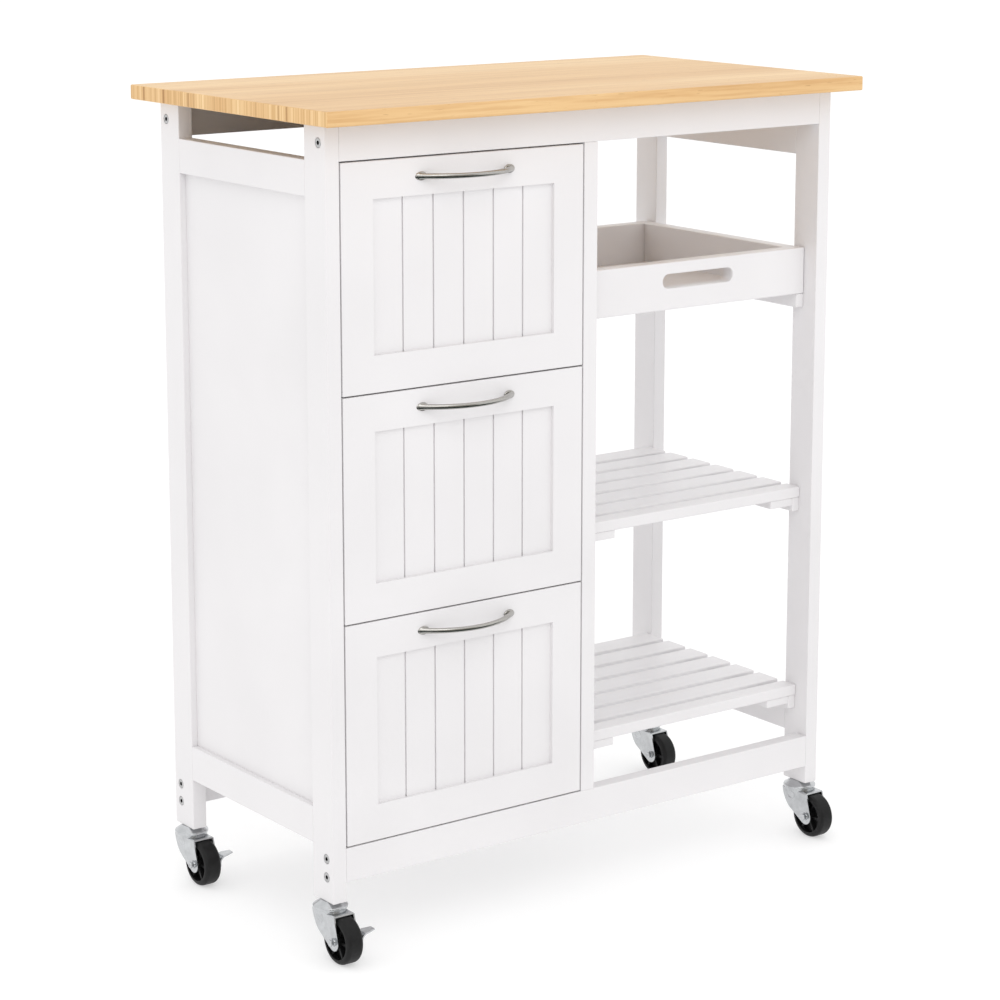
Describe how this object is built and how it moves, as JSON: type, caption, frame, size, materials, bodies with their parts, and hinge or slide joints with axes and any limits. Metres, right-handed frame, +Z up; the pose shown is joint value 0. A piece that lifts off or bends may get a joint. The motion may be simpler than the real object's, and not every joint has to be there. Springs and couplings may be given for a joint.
{
  "type": "kitchen island cart",
  "caption": "Rolling kitchen island cart: wooden worktop on a white frame with a stack of drawers, a pull-out tray, slatted shelves and swivel casters.",
  "frame": {"origin": "on the floor under the middle of the worktop", "axes": "+Z up, front with the drawers towards -Y, drawers on the -X side, open shelves on the +X side"},
  "size_m": [0.674, 0.369, 0.844],
  "materials": {
    "white_paint": "satin white paint",
    "worktop_wood": "clear satin lacquer",
    "zinc_steel": "bright zinc plate",
    "nickel": "brushed nickel plate",
    "black_wheel": "matte"
  },
  "bodies": {
    "frame": {"worktop": "worktop_wood", "leg_front_left": "white_paint", "leg_back_left": "white_paint", "leg_front_right": "white_paint", "leg_back_right": "white_paint", "left_upper_rail": "white_paint", "left_lower_rail": "white_paint", "left_side_panel": "white_paint", "right_upper_rail": "white_paint", "right_lower_rail": "white_paint", "front_apron": "white_paint", "back_apron": "white_paint", "front_bottom_rail": "white_paint", "back_bottom_rail": "white_paint", "divider_posts": "white_paint", "divider_panel": "white_paint", "back_panel": "white_paint", "middle_shelf_slats": "white_paint", "lower_shelf_slats": "white_paint", "shelf_cleats": "white_paint", "shelf_battens": "white_paint", "tray_runners": "white_paint", "frame_bolts": "zinc_steel", "barrel_nuts": "zinc_steel", "cabinet_runners": "zinc_steel", "caster_caps": "zinc_steel", "caster_stems": "zinc_steel"},
    "tray": {"tray_front": "white_paint", "tray_back": "white_paint", "tray_sides": "white_paint", "tray_bottom": "white_paint"},
    "drawer_bottom": {"drawer_bottom_front": "white_paint", "drawer_bottom_panel": "white_paint", "drawer_bottom_handle": "nickel", "drawer_bottom_box": "white_paint", "drawer_bottom_bottom": "white_paint", "drawer_bottom_runners": "zinc_steel"},
    "drawer_middle": {"drawer_middle_front": "white_paint", "drawer_middle_panel": "white_paint", "drawer_middle_handle": "nickel", "drawer_middle_box": "white_paint", "drawer_middle_bottom": "white_paint", "drawer_middle_runners": "zinc_steel"},
    "drawer_top": {"drawer_top_front": "white_paint", "drawer_top_panel": "white_paint", "drawer_top_handle": "nickel", "drawer_top_box": "white_paint", "drawer_top_bottom": "white_paint", "drawer_top_runners": "zinc_steel"},
    "caster_front_left_swivel": {"caster_front_left_fork": "zinc_steel"},
    "caster_front_left_wheel": {"caster_front_left_wheel": "black_wheel"},
    "caster_front_left_brake": {"caster_front_left_brake": "zinc_steel"},
    "caster_back_left_swivel": {"caster_back_left_fork": "zinc_steel"},
    "caster_back_left_wheel": {"caster_back_left_wheel": "black_wheel"},
    "caster_back_left_brake": {"caster_back_left_brake": "zinc_steel"},
    "caster_front_right_swivel": {"caster_front_right_fork": "zinc_steel"},
    "caster_front_right_wheel": {"caster_front_right_wheel": "black_wheel"},
    "caster_back_right_swivel": {"caster_back_right_fork": "zinc_steel"},
    "caster_back_right_wheel": {"caster_back_right_wheel": "black_wheel"}
  },
  "joints": [
    {"name": "tray_slide", "type": "slide", "parent": "frame", "child": "tray", "axis": [0, -1, 0], "range_m": [0, 0.24]},
    {"name": "drawer_bottom_slide", "type": "slide", "parent": "frame", "child": "drawer_bottom", "axis": [0, -1, 0], "range_m": [0, 0.2]},
    {"name": "drawer_middle_slide", "type": "slide", "parent": "frame", "child": "drawer_middle", "axis": [0, -1, 0], "range_m": [0, 0.2]},
    {"name": "drawer_top_slide", "type": "slide", "parent": "frame", "child": "drawer_top", "axis": [0, -1, 0], "range_m": [0, 0.2]},
    {"name": "caster_front_left_turn", "type": "hinge", "parent": "frame", "child": "caster_front_left_swivel", "pos_m": [-0.312, -0.1355, 0.05], "axis": [0, 0, 1], "continuous": true},
    {"name": "caster_front_left_roll", "type": "hinge", "parent": "caster_front_left_swivel", "child": "caster_front_left_wheel", "pos_m": [-0.312, -0.1585, 0.024], "axis": [1, 0, 0], "continuous": true},
    {"name": "caster_front_left_brake_press", "type": "hinge", "parent": "caster_front_left_swivel", "child": "caster_front_left_brake", "pos_m": [-0.299, -0.1585, 0.024], "axis": [1, 0, 0], "range_deg": [0, 20]},
    {"name": "caster_back_left_turn", "type": "hinge", "parent": "frame", "child": "caster_back_left_swivel", "pos_m": [-0.312, 0.1355, 0.05], "axis": [0, 0, 1], "continuous": true},
    {"name": "caster_back_left_roll", "type": "hinge", "parent": "caster_back_left_swivel", "child": "caster_back_left_wheel", "pos_m": [-0.312, 0.1125, 0.024], "axis": [1, 0, 0], "continuous": true},
    {"name": "caster_back_left_brake_press", "type": "hinge", "parent": "caster_back_left_swivel", "child": "caster_back_left_brake", "pos_m": [-0.299, 0.1125, 0.024], "axis": [1, 0, 0], "range_deg": [0, 20]},
    {"name": "caster_front_right_turn", "type": "hinge", "parent": "frame", "child": "caster_front_right_swivel", "pos_m": [0.312, -0.1355, 0.05], "axis": [0, 0, 1], "continuous": true},
    {"name": "caster_front_right_roll", "type": "hinge", "parent": "caster_front_right_swivel", "child": "caster_front_right_wheel", "pos_m": [0.312, -0.1585, 0.024], "axis": [1, 0, 0], "continuous": true},
    {"name": "caster_back_right_turn", "type": "hinge", "parent": "frame", "child": "caster_back_right_swivel", "pos_m": [0.312, 0.1355, 0.05], "axis": [0, 0, 1], "continuous": true},
    {"name": "caster_back_right_roll", "type": "hinge", "parent": "caster_back_right_swivel", "child": "caster_back_right_wheel", "pos_m": [0.312, 0.1125, 0.024], "axis": [1, 0, 0], "continuous": true}
  ]
}
